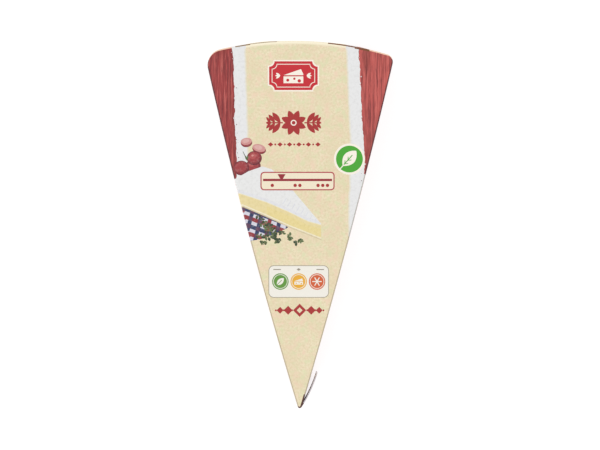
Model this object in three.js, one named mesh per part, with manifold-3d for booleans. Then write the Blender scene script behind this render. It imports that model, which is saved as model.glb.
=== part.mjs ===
// A wedge-shaped folding carton, closed, with one wrapped slice of soft cheese inside.
// Millimetres, +Z up. The tip points along -Y and the curved back faces +Y.
import * as THREE from "three";
import { mergeVertices } from "three/addons/utils/BufferGeometryUtils.js";
import Module from "manifold-3d";

const wasm = await Module();
wasm.setup();

// The closed carton, outside
const LENGTH = 156; // rounded tip to the furthest point of the back
const HEIGHT = 36;
const APEX_ANGLE = 29.7; // degrees between the two sides
const TIP_RADIUS = 0.9;
const LEFT_CORNER = 7; // plan rounding where the left side meets the back
const RIGHT_CORNER = 3.4;
const BACK_RADIUS = 140;
const BACK_SHIFT = -2.4; // X of the back arc's centre: the left side is a little longer
const LEFT_BOW = 1.5; // how far the left side bulges past its chord
const RIGHT_BOW = 1.2;

// The board and how it is folded
const BOARD = 0.45;
const FOLD_GAP = 0.3; // clearance between two panels at a fold, and between two layers
const LAYER = BOARD + FOLD_GAP;

// Flaps
const DUST_LENGTH = 20; // along the back, past the corner bend
const DUST_TRIM = 1.2; // how much shorter a dust flap is at its top and bottom
const INNER_FLAP_HEIGHT = 22; // of the back flap that rises from the bottom
const INNER_FLAP_SIDE = 6; // its distance from each back corner
const OUTER_FLAP_LIFT = 0.9; // of the outer back flap's free edge above the ground
const OUTER_FLAP_SIDE = 0.4; // its distance from each end of the back arc
const SEAM_HEIGHT = 13; // of the glue seam inside the right side
const SEAM_TIP = 16; // its distance from the tip
const SEAM_BACK = 9; // its distance from the back corner
const RIGHT_PANEL_TIP = 4.6; // where the right side starts, behind the tip tab

// The tip tab: it wraps round the tip from the left side, and its free end stands off
const TAB_LENGTH = 16;
const TAB_LIFT = 17; // degrees that it stands out from the right side
const TAB_CURL = 17; // degrees that it bends back along its length

// The contents
const SIDE_SLACK = 0.5; // between the wrapped slice and the innermost layer of each side
const BACK_SLACK = 0.8;
const TOP_SLACK = 0.8;
const WRAP = 0.25;
const WRAP_CLEARANCE = 0.3; // between wrap and cheese
const WRAP_SEAM_WIDTH = 2; // the slit where the paper's edges meet, underneath
const WRAP_SEAM_SHARE = 0.8; // of the carton's length
const SLICE_TIP = 2; // plan rounding of the wrapped slice at its tip
const RIND_ROUNDING = 1.6; // of the slice's top and bottom edges

// How finely arcs are drawn
const SIDE_STEPS = 14;
const BACK_STEPS = 28;
const BEND_STEPS = 7;
const TAB_STEPS = 8;

const COLOURS = {
  print: 0xebe0c4,
  red_print: 0x9c4345,
  raw_board: 0xd9d2c3,
  paper: 0xf4f2ec,
  rind: 0xf3ecd9,
};

const rad = THREE.MathUtils.degToRad;
const polar = (angle, r) => new THREE.Vector2(Math.cos(angle) * r, Math.sin(angle) * r);

// The plan is the space that three big discs share: one for each side and one for the back.
// Each disc is {centre, radius}, and drawing in by a distance takes it off the radius.
function sideDisc(direction, bow) {
  const half = rad(APEX_ANGLE / 2);
  const apex = new THREE.Vector2(0, 0);
  const end = new THREE.Vector2(direction * Math.sin(half), Math.cos(half)).multiplyScalar(LENGTH);
  const outward = new THREE.Vector2(direction * Math.cos(half), -Math.sin(half));
  const radius = (LENGTH * LENGTH) / (8 * bow) + bow / 2;
  const middle = apex.add(end).multiplyScalar(0.5);
  return { centre: middle.addScaledVector(outward, bow - radius), radius };
}

// Where two discs' edges cross, each drawn in by its own distance: the crossing nearest to +Y
// or, with end -1, nearest to -Y.
function crossing(a, insetA, b, insetB, end = 1) {
  const ra = a.radius - insetA;
  const rb = b.radius - insetB;
  const between = b.centre.clone().sub(a.centre);
  const distance = between.length();
  const along = (distance ** 2 + ra ** 2 - rb ** 2) / (2 * distance);
  const across = Math.sqrt(ra ** 2 - along ** 2);
  const unit = between.divideScalar(distance);
  const foot = a.centre.clone().addScaledVector(unit, along);
  const normal = new THREE.Vector2(-unit.y, unit.x).multiplyScalar(across);
  const found = [foot.clone().add(normal), foot.clone().sub(normal)];
  return found.sort((p, q) => end * (q.y - p.y))[0];
}

const LEFT = sideDisc(-1, LEFT_BOW);
const RIGHT = sideDisc(1, RIGHT_BOW);
const tipCentre = crossing(LEFT, TIP_RADIUS, RIGHT, TIP_RADIUS, -1);
const foremost = tipCentre.y - TIP_RADIUS;
const BACK = {
  centre: new THREE.Vector2(BACK_SHIFT, foremost + LENGTH - BACK_RADIUS),
  radius: BACK_RADIUS,
};

// The direction from a disc's centre to a point, which is the plan's outward direction there
const bearing = (disc, point) => point.clone().sub(disc.centre).angle();

// A stretch of arc, run anticlockwise: from a start angle to an end angle
function arc(centre, radius, from, to, steps) {
  const sweep = (to - from + 4 * Math.PI) % (2 * Math.PI);
  return { centre, radius, from, sweep, steps };
}

// The same for the edge of a disc, drawn in, between two points and shortened at its ends
function edge(disc, inset, from, to, steps, trimFrom = 0, trimTo = 0) {
  const radius = disc.radius - inset;
  const start = bearing(disc, from) + trimFrom / radius;
  return arc(disc.centre, radius, start, bearing(disc, to) - trimTo / radius, steps);
}

// The points of a run of arcs that join smoothly, moved in by a distance
function points(arcs, inset = 0) {
  const found = [];
  for (const { centre, radius, from, sweep, steps } of arcs) {
    for (let i = found.length ? 1 : 0; i <= steps; i++) {
      found.push(polar(from + (sweep * i) / steps, radius - inset).add(centre));
    }
  }
  return found;
}

// The three corner centres of a closed plan whose sides and back are drawn in
function corners({ side, back, tip, left, right }) {
  return {
    tipPoint: crossing(LEFT, side + tip, RIGHT, side + tip, -1),
    rightPoint: crossing(RIGHT, side + right, BACK, back + right),
    leftPoint: crossing(LEFT, side + left, BACK, back + left),
  };
}

// A closed plan: three edges and three rounded corners
function plan(sizes) {
  const { side, back, tip, left, right } = sizes;
  const { tipPoint, rightPoint, leftPoint } = corners(sizes);
  const bend = (centre, radius, a, b) =>
    arc(centre, radius, bearing(a, centre), bearing(b, centre), BEND_STEPS);
  const arcs = [
    bend(tipPoint, tip, LEFT, RIGHT),
    edge(RIGHT, side, tipPoint, rightPoint, SIDE_STEPS),
    bend(rightPoint, right, RIGHT, BACK),
    edge(BACK, back, rightPoint, leftPoint, BACK_STEPS),
    bend(leftPoint, left, BACK, LEFT),
    edge(LEFT, side, leftPoint, tipPoint, SIDE_STEPS),
  ];
  return points(arcs).slice(0, -1);
}

// The outline of a strip of board that follows a run of arcs
const strip = (arcs) => [...points(arcs), ...points(arcs, BOARD).reverse()];

function extrude(outline, bottom, top, bevel = 0) {
  const geometry = new THREE.ExtrudeGeometry(new THREE.Shape(outline), {
    depth: top - bottom - 2 * bevel,
    bevelEnabled: bevel > 0,
    bevelSize: bevel,
    bevelThickness: bevel,
    bevelOffset: -bevel,
    bevelSegments: 3,
  });
  return geometry.translate(0, 0, bottom + bevel);
}

const CARTON = { side: 0, back: 0, tip: TIP_RADIUS, left: LEFT_CORNER, right: RIGHT_CORNER };
const WALL_BOTTOM = LAYER;
const WALL_TOP = HEIGHT - LAYER;
const INNER_FLAP_INSET = LAYER;
const DUST_INSET = 2 * LAYER;
const carton = new THREE.Group();

function add(name, geometry, colour) {
  const material = new THREE.MeshStandardMaterial({
    color: COLOURS[colour],
    roughness: 0.6,
    metalness: 0,
  });
  const mesh = new THREE.Mesh(geometry, material);
  mesh.name = name;
  carton.add(mesh);
}

function topAndBottom() {
  add("top_panel", extrude(plan(CARTON), HEIGHT - BOARD, HEIGHT), "print");
  add("bottom_panel", extrude(plan(CARTON), 0, BOARD), "raw_board");
}

// Each side bends into its dust flap, which lies inside both back flaps
const DUST = { ...CARTON, back: DUST_INSET };

function sides() {
  const { tipPoint, rightPoint, leftPoint } = corners(DUST);
  const left = edge(LEFT, 0, leftPoint, tipPoint, SIDE_STEPS, 0, FOLD_GAP);
  const right = edge(RIGHT, 0, tipPoint, rightPoint, SIDE_STEPS, RIGHT_PANEL_TIP, 0);
  add("left_side_panel", extrude(strip([left]), WALL_BOTTOM, WALL_TOP), "red_print");
  add("right_side_panel", extrude(strip([right]), WALL_BOTTOM, WALL_TOP), "red_print");
}

function dustFlap(name, centre, radius, first, second, run) {
  const start = bearing(first, centre);
  const end = bearing(second, centre);
  const gap = FOLD_GAP / radius; // at the fold to the side panel
  const [from, to] = first === BACK ? [start, end - gap] : [start + gap, end];
  const bend = arc(centre, radius, from, to, BEND_STEPS);
  const arcs = first === BACK ? [run, bend] : [bend, run];
  const outline = strip(arcs);
  add(name, extrude(outline, WALL_BOTTOM + DUST_TRIM, WALL_TOP - DUST_TRIM), "raw_board");
}

function dustFlaps() {
  const { rightPoint, leftPoint } = corners(DUST);
  const radius = BACK.radius - DUST_INSET;
  const sweep = DUST_LENGTH / radius;
  const rightStart = bearing(BACK, rightPoint);
  const leftEnd = bearing(BACK, leftPoint);
  const rightRun = arc(BACK.centre, radius, rightStart, rightStart + sweep, BEND_STEPS);
  const leftRun = arc(BACK.centre, radius, leftEnd - sweep, leftEnd, BEND_STEPS);
  dustFlap("right_dust_flap", rightPoint, RIGHT_CORNER, RIGHT, BACK, rightRun);
  dustFlap("left_dust_flap", leftPoint, LEFT_CORNER, BACK, LEFT, leftRun);
}

function backFlaps() {
  const { rightPoint, leftPoint } = corners(CARTON);
  const flap = (inset, margin) =>
    strip([edge(BACK, inset, rightPoint, leftPoint, BACK_STEPS, margin, margin)]);
  const outer = flap(0, OUTER_FLAP_SIDE);
  const inner = flap(INNER_FLAP_INSET, INNER_FLAP_SIDE);
  add("back_outer_flap", extrude(outer, OUTER_FLAP_LIFT, WALL_TOP), "red_print");
  add("back_inner_flap", extrude(inner, WALL_BOTTOM, INNER_FLAP_HEIGHT), "raw_board");
}

function seamFlap() {
  const { tipPoint, rightPoint } = corners(DUST);
  const run = edge(RIGHT, LAYER, tipPoint, rightPoint, SIDE_STEPS, SEAM_TIP, SEAM_BACK);
  add("seam_flap", extrude(strip([run]), WALL_BOTTOM, SEAM_HEIGHT), "raw_board");
}

// The tab leaves the tip's bend before it lies along the right side, and runs on in a long
// arc that curls back towards it.
function tipTab() {
  const { tipPoint } = corners(CARTON);
  const from = bearing(LEFT, tipPoint) + FOLD_GAP / TIP_RADIUS;
  const leave = bearing(RIGHT, tipPoint) - rad(TAB_LIFT);
  const radius = TAB_LENGTH / rad(TAB_CURL);
  const centre = polar(leave, TIP_RADIUS - radius).add(tipPoint);
  const outline = strip([
    arc(tipPoint, TIP_RADIUS, from, leave, BEND_STEPS),
    arc(centre, radius, leave, leave + rad(TAB_CURL), TAB_STEPS),
  ]);
  add("tip_tab", extrude(outline, WALL_BOTTOM, WALL_TOP), "red_print");
}

function solidOf(geometry) {
  const bare = geometry.clone();
  bare.deleteAttribute("normal");
  bare.deleteAttribute("uv");
  const merged = mergeVertices(bare);
  return new wasm.Manifold(
    new wasm.Mesh({
      numProp: 3,
      vertProperties: merged.getAttribute("position").array,
      triVerts: new Uint32Array(merged.getIndex().array),
    }),
  );
}

function geometryOf(solid) {
  const { vertProperties, triVerts } = solid.getMesh();
  const geometry = new THREE.BufferGeometry();
  geometry.setAttribute("position", new THREE.BufferAttribute(vertProperties, 3));
  geometry.setIndex(new THREE.BufferAttribute(triVerts, 1));
  return geometry;
}

// The wrapped slice, drawn in from the wrap's outside by a distance. Its back corners are as
// round as the carton's.
const contents = (inset) => ({
  ...CARTON,
  side: 2 * LAYER + SIDE_SLACK + inset,
  back: DUST_INSET + BOARD + BACK_SLACK + inset,
  tip: SLICE_TIP,
});
const CONTENTS_BOTTOM = LAYER;
const CONTENTS_TOP = HEIGHT - BOARD - TOP_SLACK;

// Paper all round the slice, open along a slit underneath where its edges meet
function innerWrap() {
  const outer = extrude(plan(contents(0)), CONTENTS_BOTTOM, CONTENTS_TOP);
  const inner = extrude(plan(contents(WRAP)), CONTENTS_BOTTOM + WRAP, CONTENTS_TOP - WRAP);
  const slit = new THREE.BoxGeometry(WRAP_SEAM_WIDTH, LENGTH * WRAP_SEAM_SHARE, 2 * WRAP);
  slit.translate(0, foremost + LENGTH / 2, CONTENTS_BOTTOM + WRAP / 2);
  const paper = solidOf(outer).subtract(solidOf(inner)).subtract(solidOf(slit));
  add("inner_wrap", geometryOf(paper), "paper");
}

function cheeseWedge() {
  const gap = WRAP + WRAP_CLEARANCE;
  const slice = extrude(
    plan(contents(gap)),
    CONTENTS_BOTTOM + gap,
    CONTENTS_TOP - gap,
    RIND_ROUNDING,
  );
  add("cheese_wedge", slice, "rind");
}

topAndBottom();
sides();
dustFlaps();
backFlaps();
seamFlap();
tipTab();
innerWrap();
cheeseWedge();

// The origin is the middle of the carton's footprint, on the surface that it stands on
const middle = new THREE.Box3().setFromObject(carton).getCenter(new THREE.Vector3());
carton.position.set(-middle.x, -middle.y, 0);

const model = new THREE.Group();
model.add(carton);
export default model;
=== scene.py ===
"""A closed, wedge-shaped folding carton for cheese, printed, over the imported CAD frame.

Sizes in the drawing code are millimetres. X and Y are the row frame's, the tip points along -Y,
and a carton's print is drawn as on the flat blank, where every wall folds outwards from the top.
"""

import math
import random

import bpy
import numpy as np
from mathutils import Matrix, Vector
from mathutils.geometry import delaunay_2d_cdt


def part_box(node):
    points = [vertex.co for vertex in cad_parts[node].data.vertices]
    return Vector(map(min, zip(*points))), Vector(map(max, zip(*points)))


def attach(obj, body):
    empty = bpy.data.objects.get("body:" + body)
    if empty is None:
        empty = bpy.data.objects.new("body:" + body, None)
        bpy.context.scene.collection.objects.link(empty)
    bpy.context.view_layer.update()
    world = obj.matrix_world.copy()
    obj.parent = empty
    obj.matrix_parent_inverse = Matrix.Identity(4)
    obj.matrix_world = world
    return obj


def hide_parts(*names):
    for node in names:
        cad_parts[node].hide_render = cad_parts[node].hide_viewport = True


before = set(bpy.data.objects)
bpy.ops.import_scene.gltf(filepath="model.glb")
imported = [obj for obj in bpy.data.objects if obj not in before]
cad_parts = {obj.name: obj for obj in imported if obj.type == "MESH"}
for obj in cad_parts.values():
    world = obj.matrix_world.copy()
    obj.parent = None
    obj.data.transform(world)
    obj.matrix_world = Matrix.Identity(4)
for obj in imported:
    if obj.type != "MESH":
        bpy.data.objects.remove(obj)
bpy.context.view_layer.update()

MM = 0.001


def node_heights(node):
    """How high a CAD node's foot and head are, in millimetres."""
    low, high = (np.array(corner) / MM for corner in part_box(node))
    return low[2], high[2]


TOP_FOOT, HEIGHT = node_heights("top_panel")
BOARD = HEIGHT - TOP_FOOT
WALL_HEIGHTS = node_heights("left_side_panel")
WALL_BOTTOM, WALL_TOP = WALL_HEIGHTS
MIDDLE = np.array([0.0, 20.0])  # a point well inside the plan

# Folds, in millimetres: how far in from the outline a crease starts. A crease is slack along the
# curved back and tight round the two back corners, where the top's edge is a plain cut.
SIDE_CREASE = 0.7
CORNER_CREASE = 0.35
BACK_CREASE = 1.8
CREASE_STEPS = 6
CREASE_PRINT = 1.2  # how much print goes round a crease, for each millimetre of its width
TOP_SAG = 0.35  # how far the top sinks between its folds
SAG_REACH = 13.0  # and how far in from them it has sunk fully
CREASE_DROP = HEIGHT - WALL_TOP

# How far the walls belly out between their folds
SIDE_BELLY = 0.15
BACK_BELLY = 0.6

TAB_CORNER = 2.6  # the radius of the two corners of the tab's free end
TAB_SHADOW_REACH = 5.5  # how much of the tab, past the left side's fold, has torn off the tip; its back and edge there are painted dark as shade
CORNER_BENDS = {"left": 9.0, "right": 5.5}  # how long the board's bend is at each back corner
SEAM_START = -60.0  # where the seam's board starts, from the middle of the right side's fold

# Where the fold along the back gapes, from X to X, the ink of the painted shadow in the gap, and how
# many steps of the rounding
BACK_GAP_SHADOWS = ((-9.0, -27.0, "fold gap pale", 1), (12.0, 30.0, "fold gap", 2))
GAP_LEVEL = 0.25  # a gap keeps to the edge for this share of its length,
GAP_DRIFT = 2.4  # and then draws inwards by this many steps for each further length of it
BACK_FACING = 0.3  # an outward normal with at least this much of Y belongs to the back fold
SIDE_FACING = 0.7  # and one with more than this much of X to a side's
HIGHLIGHT_FROM = 3  # the step of the back's crease from which its wood is paler, a painted highlight
TIP_GAP_Y = -76.3  # the top's edge is painted dark, as shade in the narrow gap, from here to the tip, and from here where the tab has torn off it
TAB_GAP_Y = -72.7  # and from here where the tab has torn off it

# ---------------- outlines from the CAD nodes


def cap_ring(node):
    """The corners of a CAD node's top face, anticlockwise."""
    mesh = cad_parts[node].data
    places = [tuple(np.round(np.array(v.co) / MM, 4)) for v in mesh.vertices]
    top = max(place[2] for place in places)
    edges = set()
    for face in mesh.polygons:
        ring = [places[i] for i in face.vertices]
        if all(abs(place[2] - top) < 0.01 for place in ring):
            edges.update(zip(ring, ring[1:] + ring[:1]))
    follows = {a: b for a, b in edges if (b, a) not in edges}
    start = place = next(iter(sorted(follows)))
    ring = []
    while not ring or place != start:
        ring.append(place[:2])
        place = follows[place]
    return np.array(ring)


def outer_run(node):
    """The outside line of an upright strip of board, anticlockwise round the carton."""
    ring = cap_ring(node)
    count = len(ring) // 2
    lengths = np.linalg.norm(np.roll(ring, -1, axis=0) - ring, axis=1)
    misfit = np.abs(lengths - BOARD)
    end = int(np.argmin(misfit[:count] + misfit[count:]))
    ring = np.roll(ring, -end - 1, axis=0)
    runs = [ring[:count], ring[count:]]
    return max(runs, key=lambda run: swept(run))


def swept(run):
    """How far a run of points goes anticlockwise round the middle of the carton."""
    angles = np.unwrap(np.arctan2(*(run - MIDDLE).T[::-1]))
    return angles[-1] - angles[0]


def half_turns(run, closed):
    """The heading and length of each chord of a run of joined arcs, and half the angle that its
    arc turns through. Chords of one arc are alike, so the turn at the more alike neighbour is
    twice that half."""
    following = np.roll(run, -1, axis=0) - run
    chords = following if closed else following[:-1]
    headings = np.arctan2(chords[:, 1], chords[:, 0])
    lengths = np.linalg.norm(chords, axis=1)
    count = len(chords)
    found = []
    for i in range(count):
        sides = [(i - 1, i), (i, i + 1)]
        if not closed:
            sides = [(a, b) for a, b in sides if a >= 0 and b < count]
        sides = [(a % count, b % count) for a, b in sides]
        a, b = min(sides, key=lambda s: abs(math.log(lengths[s[0]] / lengths[s[1]])))
        turn = (headings[b] - headings[a] + math.pi) % (2 * math.pi) - math.pi
        found.append(turn / 2)
    return headings, lengths, found


def samples(run, closed=False, spacing=4.0, bend=math.radians(6)):
    """Rows of x, y, outward normal and distance along the arcs that a run's corners lie on."""
    headings, lengths, halves = half_turns(run, closed)
    rows = []
    along = 0.0
    for start, heading, length, half in zip(run, headings, lengths, halves):
        steps = math.ceil(max(length / spacing, 2 * abs(half) / bend, 1))
        bow = length * half / math.sin(half) if abs(half) > 1e-9 else length
        for step in range(steps):
            rows.append(arc_row(start, heading, length, half, step / steps))
            rows[-1].append(along + bow * step / steps)
        along += bow
    if not closed:
        rows.append([*arc_row(start, heading, length, half, 1.0), along])
    return np.array(rows)


def arc_row(start, heading, length, half, share):
    """A point part of the way along an arc, with the normal on its right hand side."""
    turned = 2 * half * share
    tangent = heading - half + turned
    reach = length * (math.sin(turned / 2) / math.sin(half) if abs(half) > 1e-9 else share)
    direction = heading - half + turned / 2
    x = start[0] + reach * math.cos(direction)
    y = start[1] + reach * math.sin(direction)
    return [x, y, math.sin(tangent), -math.cos(tangent)]


class Fold:
    """A fold line of the blank, which is a long arc. Past it the print lies on a wall, at a
    distance u along the fold from its middle and at a height z above the ground."""

    def __init__(self, node):
        run = samples(outer_run(node))
        first, mid, last = run[0, :2], run[len(run) // 2, :2], run[-1, :2]
        self.centre = circle_centre(first, mid, last)
        self.radius = float(np.linalg.norm(first - self.centre))
        self.length = run[-1, 4]
        ends = (first + last) / 2 - self.centre
        self.heading = math.atan2(ends[1], ends[0])

    def onto_wall(self, points):
        """Where points of the flat print come to lie, as u and z."""
        away = np.asarray(points, float) - self.centre
        angle = np.arctan2(away[:, 1], away[:, 0]) - self.heading
        angle = (angle + math.pi) % (2 * math.pi) - math.pi
        drop = np.linalg.norm(away, axis=1) - self.radius
        return np.column_stack([angle * self.radius, HEIGHT - drop])

    def onto_blank(self, places):
        """The points of the flat print that lie at u and z."""
        places = np.asarray(places, float)
        angle = places[:, 0] / self.radius + self.heading
        reach = self.radius + HEIGHT - places[:, 1]
        return self.centre + np.column_stack([np.cos(angle), np.sin(angle)]) * reach[:, None]


def circle_centre(a, b, c):
    """The centre of the circle through three points."""
    rows = 2 * np.array([b - a, c - a])
    return np.linalg.solve(rows, [b @ b - a @ a, c @ c - a @ a])


# ---------------- inks

# Every ink's colour, 0 to 255, under its finish. top_fold_ink makes up some of the names.
INKS = {
    "wood": {"wood left": (158, 55, 55), "wood right": (192, 86, 80)},
    # the kraft crease inks, here and among the flat inks, are a painted highlight on the rounding of
    # the back's fold
    "kraft": {"kraft": (233, 219, 184), "kraft crease 0": (239, 226, 195)},
    "painted": {
        "torn": (231, 231, 231), "torn 1": (231, 229, 221), "torn 2": (230, 225, 209),
        "torn 3": (230, 220, 195), "speck": (96, 44, 44), "picture shade": (214, 198, 162),
        "rind": (231, 231, 230), "rind low": (226, 226, 229), "rind ridge": (219, 220, 226),
        "paste": (232, 215, 160), "paste light": (238, 226, 184), "paste warm": (232, 214, 150),
        "paste foot": (240, 230, 200), "radish": (160, 60, 64), "radish low": (134, 50, 56),
        "radish dark": (108, 38, 48), "radish light": (182, 84, 84),
        "radish shine": (212, 142, 136), "slice rim": (150, 58, 62), "slice": (208, 146, 142),
        "slice light": (220, 172, 166), "cloth": (214, 212, 224), "cloth blue": (50, 60, 98),
        "cloth red": (148, 52, 58), "cloth mixed": (96, 62, 88), "stem": (132, 118, 78),
        "herb": (88, 106, 62), "herb dark": (54, 72, 44),
    },
    "bare": {"bare": (214, 206, 190), "cut edge": (150, 138, 132)},
    "flat": {
        "kraft crease 1": (246, 235, 206), "kraft crease": (252, 243, 216),
        # the fold inks are painted shade: a dark line where the board turns down over a fold
        "kraft fold": (190, 176, 148), "wood crease": (246, 206, 178), "wood fold": (92, 34, 38),
        # the gap inks are painted shadow in two gaps of the back's fold
        "torn fold": (188, 184, 178), "fold gap": (122, 72, 40), "fold gap pale": (142, 112, 78),
        # the tip's dark ink is painted shade in the narrow gap by the tip; the tab's back and edge
        # inks are lightened there as painted light
        "tip gap": (88, 54, 46), "tab edge": (196, 188, 194), "tab back": (252, 251, 249),
        "plaque": (198, 38, 48), "pale": (248, 240, 226), "title": (168, 46, 46),
        "slider": (150, 42, 52), "slider box": (178, 68, 76), "slider fill": (240, 228, 202),
        "green": (72, 166, 48), "panel": (240, 236, 226), "olive": (98, 150, 62),
        "amber": (232, 172, 52), "terracotta": (210, 96, 54), "panel line": (150, 142, 128),
    },
}
FINISHES = ("wood", "kraft", "painted", "bare")  # in the order of a finish's four numbers


def shade(*colour):
    """A colour of 0 to 255 as the shader's four numbers."""
    shares = [c / 255 for c in colour]
    return (*(c / 12.92 if c <= 0.04045 else ((c + 0.055) / 1.055) ** 2.4 for c in shares), 1.0)


def ink_rows():
    """Each ink's colour and finish, as a mesh holds them."""
    rows = {}
    for finish, inks in INKS.items():
        shares = tuple(float(finish == kind) for kind in FINISHES)
        rows.update({name: (shade(*colour), shares) for name, colour in inks.items()})
    return rows


INK_ROWS = ink_rows()

# ---------------- drawing


def ellipse(x, y, rx, ry, angle=0.0, steps=40):
    """An oval, turned by an angle in degrees."""
    turn = math.radians(angle)
    t = np.linspace(0, 2 * math.pi, steps, endpoint=False)
    px, py = rx * np.cos(t), ry * np.sin(t)
    c, s = math.cos(turn), math.sin(turn)
    return np.column_stack([x + px * c - py * s, y + px * s + py * c])


def disc(x, y, radius, steps=40):
    """A round dot."""
    return ellipse(x, y, radius, radius, 0, steps)


def diamond(x, y, rx, ry):
    """An upright diamond."""
    return ellipse(x, y, rx, ry, 0, 4)


def rounded_box(x0, y0, x1, y1, radius, steps=7):
    """An upright box with round corners."""
    ring = []
    corners = [(x1, y1, 0), (x0, y1, 90), (x0, y0, 180), (x1, y0, 270)]
    for x, y, first in corners:
        cx = x - math.copysign(radius, x - (x0 + x1) / 2)
        cy = y - math.copysign(radius, y - (y0 + y1) / 2)
        for angle in np.radians(np.linspace(first, first + 90, steps)):
            ring.append((cx + radius * math.cos(angle), cy + radius * math.sin(angle)))
    return np.array(ring)


def notched_box(x, y, rx, ry, notch, steps=9):
    """A plaque: a box whose corners are scooped out."""
    ring = []
    for sx, sy, first in ((1, 1, 270), (-1, 1, 360), (-1, -1, 90), (1, -1, 180)):
        for angle in np.radians(np.linspace(first, first - 90, steps)):
            cx, cy = x + sx * rx, y + sy * ry
            ring.append((cx + notch * math.cos(angle), cy + notch * math.sin(angle)))
    return np.array(ring)


def leaf(x, y, length, width, angle, steps=9):
    """A pointed leaf that starts at a point."""
    t = np.linspace(0, 1, steps)
    half = width / 2 * np.sin(math.pi * t) ** 0.8
    upper = np.column_stack([t * length, half])
    lower = np.column_stack([t * length, -half])[1:-1]
    return moved(np.vstack([lower, upper[::-1]]), x, y, angle)


def moved(points, x, y, angle=0.0):
    """Points turned about the origin, then shifted."""
    turn = math.radians(angle)
    c, s = math.cos(turn), math.sin(turn)
    return np.asarray(points, float) @ np.array([[c, s], [-s, c]]) + (x, y)


def bar(a, b, width):
    """A straight stroke with square ends."""
    a, b = np.array(a, float), np.array(b, float)
    across = np.array([a[1] - b[1], b[0] - a[0]])
    across *= width / 2 / np.linalg.norm(across)
    return np.array([a - across, b - across, b + across, a + across])


def band(line, dx, dy):
    """The strip between a line and its copy a little way off."""
    return [*line, *((x + dx, y + dy) for x, y in reversed(line))]


def area(ring):
    """A ring's area, above zero where it runs anticlockwise."""
    following = np.roll(ring, -1, axis=0)
    return float(np.sum(ring[:, 0] * following[:, 1] - following[:, 0] * ring[:, 1])) / 2


class Art:
    """Layers of print, each over the ones before it. A layer may be kept within another."""

    def __init__(self):
        self.layers = []

    def add(self, ring, ink, within=None):
        ring = np.asarray(ring, float)
        ring = ring if area(ring) > 0 else ring[::-1]
        self.layers.append((ring, ink, within))
        return len(self.layers) - 1


# ---------------- the print


BLANK_TOP = 125.0  # the drawn blank reaches past every wall
BLANK_BOTTOM = -150.0
BLANK_SIDE = 120.0
MERGE = 1e-3  # points of the print that lie closer than this are one point


def torn_line(knots, seed, jitter, wave, step=0.8):
    """A ragged line from the top of the blank to its foot, near x as the knots give it."""
    rng = random.Random(seed)
    ys = np.arange(BLANK_TOP, BLANK_BOTTOM - step, -step)
    xs = np.interp(-ys, [-y for y, x in knots], [x for y, x in knots])
    drift = 0.0
    line = []
    for x, y in zip(xs, ys):
        drift = 0.82 * drift + rng.gauss(0, wave)
        line.append((x + drift + rng.uniform(-jitter, jitter), y + rng.uniform(-0.25, 0.25)))
    return np.array(line)


def beyond(line, side):
    """Everything on one side of a line that runs down the blank."""
    far = side * BLANK_SIDE
    return np.vstack([line, [(far, line[-1][1])], [(far, line[0][1])]])


def wooden_edge(art, side, wood, strip, ink, seed):
    """Red boards along one side, with a strip of torn paper between them and the kraft."""
    soft = torn_line(strip, seed, 0.03, 0.05)
    for step, shade in enumerate(("torn 3", "torn 2", "torn 1")):
        art.add(beyond(soft - (side * 0.3 * (3 - step), 0), side), shade)
    torn = art.add(beyond(soft, side), "torn")
    ragged = torn_line(wood, seed + 1, 0.13, 0.085)
    boards = art.add(beyond(ragged, side), ink)
    rng = random.Random(seed + 2)
    for x, y in ragged:
        if rng.random() < 0.2:
            size = rng.uniform(0.12, 0.32)
            reach, mark, under = (-1, "speck", torn) if rng.random() < 0.6 else (0.4, "torn", boards)
            at = x + side * rng.uniform(0.1, 1.3) * reach
            art.add(ellipse(at, y, size * 0.7, size, rng.uniform(-30, 30), 6), mark, under)


def plaque(art, x, y):
    """A badge with scooped corners and a wedge of cheese on it."""
    for rx, ry, notch, ink in ((10.9, 6.7, 2.5, "pale"), (10.3, 6.1, 2.3, "plaque"),
                               (9.2, 5.0, 2.1, "pale"), (8.9, 4.7, 2.0, "plaque")):
        inner = art.add(notched_box(x, y, rx, ry, notch), ink)
    wedge_sign(art, x, y - 0.2, 1.0, "pale", "plaque", inner)
    for side in (-1, 1):
        for lift in (-1.1, 0.0, 1.1):
            art.add(leaf(x + side * 5.6, y, 2.2, 0.8, 90 - side * (90 + lift * 30)), "pale")


def wedge_sign(art, x, y, size, ink, hole, within=None):
    """A pictogram of a cheese wedge with holes."""
    top = np.array([(-4.2, 0.4), (3.2, 3.0), (4.2, 0.9), (4.2, 0.4)]) * size
    side = np.array([(-4.2, -0.1), (4.2, -0.1), (4.2, -3.0), (-4.2, -3.0)]) * size
    art.add(top + (x, y), ink, within)
    art.add(side + (x, y), ink, within)
    for hx, hy, radius in ((-2.4, -1.7, 0.62), (0.4, -1.1, 0.5), (2.5, -2.0, 0.72)):
        art.add(disc(x + hx * size, y + hy * size, radius * size), hole)


def title_ornament(art, x, y, width, height):
    """A scroll of leaves about a flower, in place of any name."""
    ink = "title"
    for petal in range(8):
        art.add(leaf(x, y, height * 0.46, height * 0.23, 22.5 + petal * 45), ink)
    art.add(disc(x, y, 1.25), "pale")
    art.add(disc(x, y, 0.8), ink)
    reach = width / 2 - 0.3
    for side in (-1, 1):
        art.add(bar((x + side * 4.6, y), (x + side * (reach - 0.5), y), 0.55), ink)
        for at, size in ((5.6, 1.0), (7.9, 0.8), (9.7, 0.56)):
            for up in (-1, 1):
                angle = up * 52 if side > 0 else 180 - up * 52
                art.add(leaf(x + side * at, y, 5.6 * size, 2.2 * size, angle), ink)
        art.add(leaf(x + side * (reach - 1.9), y, 2.4, 1.3, 0 if side > 0 else 180), ink)


def beading(art, x0, x1, y, ink, count=11):
    """A row of diamonds and dots."""
    for i in range(count):
        x = x0 + (x1 - x0) * i / (count - 1)
        art.add(disc(x, y, 0.42, 12) if i % 2 else diamond(x, y, 1.15, 0.95), ink)


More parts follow.
